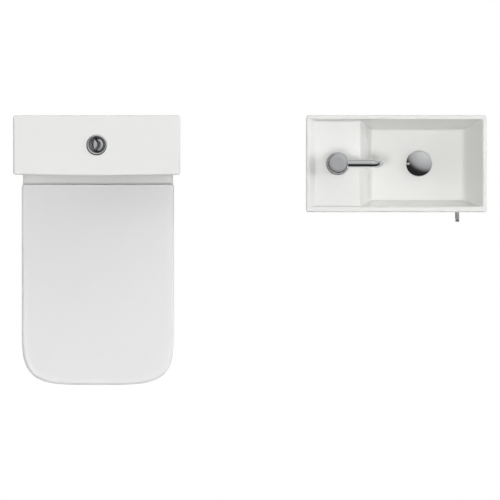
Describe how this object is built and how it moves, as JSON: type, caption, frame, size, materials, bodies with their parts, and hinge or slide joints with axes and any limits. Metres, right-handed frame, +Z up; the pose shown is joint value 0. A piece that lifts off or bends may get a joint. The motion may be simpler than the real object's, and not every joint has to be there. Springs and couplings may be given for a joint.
{
  "type": "close-coupled toilet and cloakroom vanity set",
  "caption": "Close-coupled toilet with dual-flush cistern and hinged seat, set beside a narrow cabinet basin with a side tap, domed waste and one door.",
  "frame": {"origin": "on the floor, under the centre of the whole set", "axes": "+Z up, +Y towards the wall, +X along the wall from the toilet to the vanity unit"},
  "size_m": [1.065, 0.609, 0.949],
  "materials": {
    "ceramic": "gloss glaze",
    "seat_plastic": "gloss, moulded",
    "chrome": "mirror plated",
    "plated_plastic": "chrome plated, gloss",
    "zinc_steel": "zinc plated",
    "brass": "machined",
    "white_plastic": "satin, moulded",
    "blue_plastic": "satin, moulded",
    "black_rubber": "matt",
    "red_rubber": "matt",
    "board": "white faced board",
    "door_board": "white gloss faced board",
    "pvc": "semi-gloss, moulded"
  },
  "bodies": {
    "base": {"pan": "ceramic", "pan_waterways": "ceramic", "pan_brackets": "white_plastic", "pan_screws": "zinc_steel", "pan_screw_caps": "white_plastic", "cistern": "ceramic", "cistern_bolts": "zinc_steel", "cistern_washers": "black_rubber", "cistern_wing_nuts": "brass", "coupling_gasket": "black_rubber", "flush_valve_body": "blue_plastic", "fill_valve_body": "white_plastic", "valve_backnuts": "white_plastic", "seat_hinge_posts": "chrome", "seat_hinge_pins": "zinc_steel", "seat_hinge_nuts": "white_plastic", "basin": "ceramic", "basin_deck": "ceramic", "tap_body": "chrome", "tap_spout": "chrome", "tap_aerator": "chrome", "tap_cartridge": "brass", "tap_clamp": "black_rubber", "tap_stud_and_nut": "brass", "waste_body": "chrome", "waste_guide": "white_plastic", "basin_seals": "black_rubber", "waste_backnut": "brass", "trap_bottle": "pvc", "trap_cup": "pvc", "trap_nuts": "pvc", "trap_outlet_pipe": "pvc", "cabinet_sides": "board", "cabinet_panels": "board", "cabinet_shelf": "board", "shelf_pins": "zinc_steel", "cabinet_glides": "white_plastic", "door_hinges": "zinc_steel"},
    "cistern_lid": {"cistern_lid": "ceramic", "flush_bezel": "plated_plastic", "bezel_nut": "white_plastic"},
    "half_flush": {"half_flush_button": "plated_plastic", "half_push_rod": "white_plastic"},
    "full_flush": {"full_flush_button": "plated_plastic", "full_push_rod": "white_plastic"},
    "flush_piston": {"flush_piston": "white_plastic", "flush_seal": "red_rubber"},
    "float": {"float_arm": "white_plastic", "float": "blue_plastic"},
    "seat_ring": {"seat_ring": "seat_plastic", "seat_ring_buffers": "white_plastic"},
    "seat_lid": {"seat_lid": "seat_plastic", "seat_lid_buffers": "white_plastic"},
    "tap_control": {"tap_knob": "chrome", "tap_spindle": "brass"},
    "waste_plug": {"waste_plug": "chrome"},
    "door": {"door": "door_board", "door_handle": "chrome", "handle_screws": "zinc_steel", "door_hinge_leaves": "zinc_steel"}
  },
  "joints": [
    {"name": "cistern_lid_lift", "type": "slide", "parent": "base", "child": "cistern_lid", "axis": [0, 0, 1], "range_m": [0, 0.12]},
    {"name": "half_flush_press", "type": "slide", "parent": "cistern_lid", "child": "half_flush", "axis": [0, 0, -1], "range_m": [0, 0.006], "stiffness_N_per_m": 300, "springref_m": -0.003},
    {"name": "full_flush_press", "type": "slide", "parent": "cistern_lid", "child": "full_flush", "axis": [0, 0, -1], "range_m": [0, 0.006], "stiffness_N_per_m": 300, "springref_m": -0.003},
    {"name": "flush_piston_lift", "type": "slide", "parent": "base", "child": "flush_piston", "axis": [0, 0, 1], "range_m": [0, 0.02]},
    {"name": "float_swing", "type": "hinge", "parent": "base", "child": "float", "pos_m": [-0.4465, 0.2375, 0.707], "axis": [0, -1, 0], "range_deg": [0, 25]},
    {"name": "seat_ring_hinge", "type": "hinge", "parent": "base", "child": "seat_ring", "pos_m": [-0.3445, 0.1335, 0.424], "axis": [-1, 0, 0], "range_deg": [0, 92]},
    {"name": "seat_lid_hinge", "type": "hinge", "parent": "seat_ring", "child": "seat_lid", "pos_m": [-0.3445, 0.1335, 0.424], "axis": [1, 0, 0], "range_deg": [-92, 0]},
    {"name": "tap_knob_turn", "type": "hinge", "parent": "base", "child": "tap_control", "pos_m": [0.1975, 0.1955, 0.94], "axis": [0, 0, 1], "range_deg": [0, 120]},
    {"name": "waste_plug_press", "type": "slide", "parent": "base", "child": "waste_plug", "axis": [0, 0, -1], "range_m": [0, 0.008]},
    {"name": "door_hinge", "type": "hinge", "parent": "base", "child": "door", "pos_m": [0.1312, 0.111, 0.4], "axis": [0, 0, -1], "range_deg": [0, 110]}
  ],
  "couplings": [
    {"joint": "flush_piston_lift", "follows": "full_flush_press", "ratio": 3.3333}
  ]
}
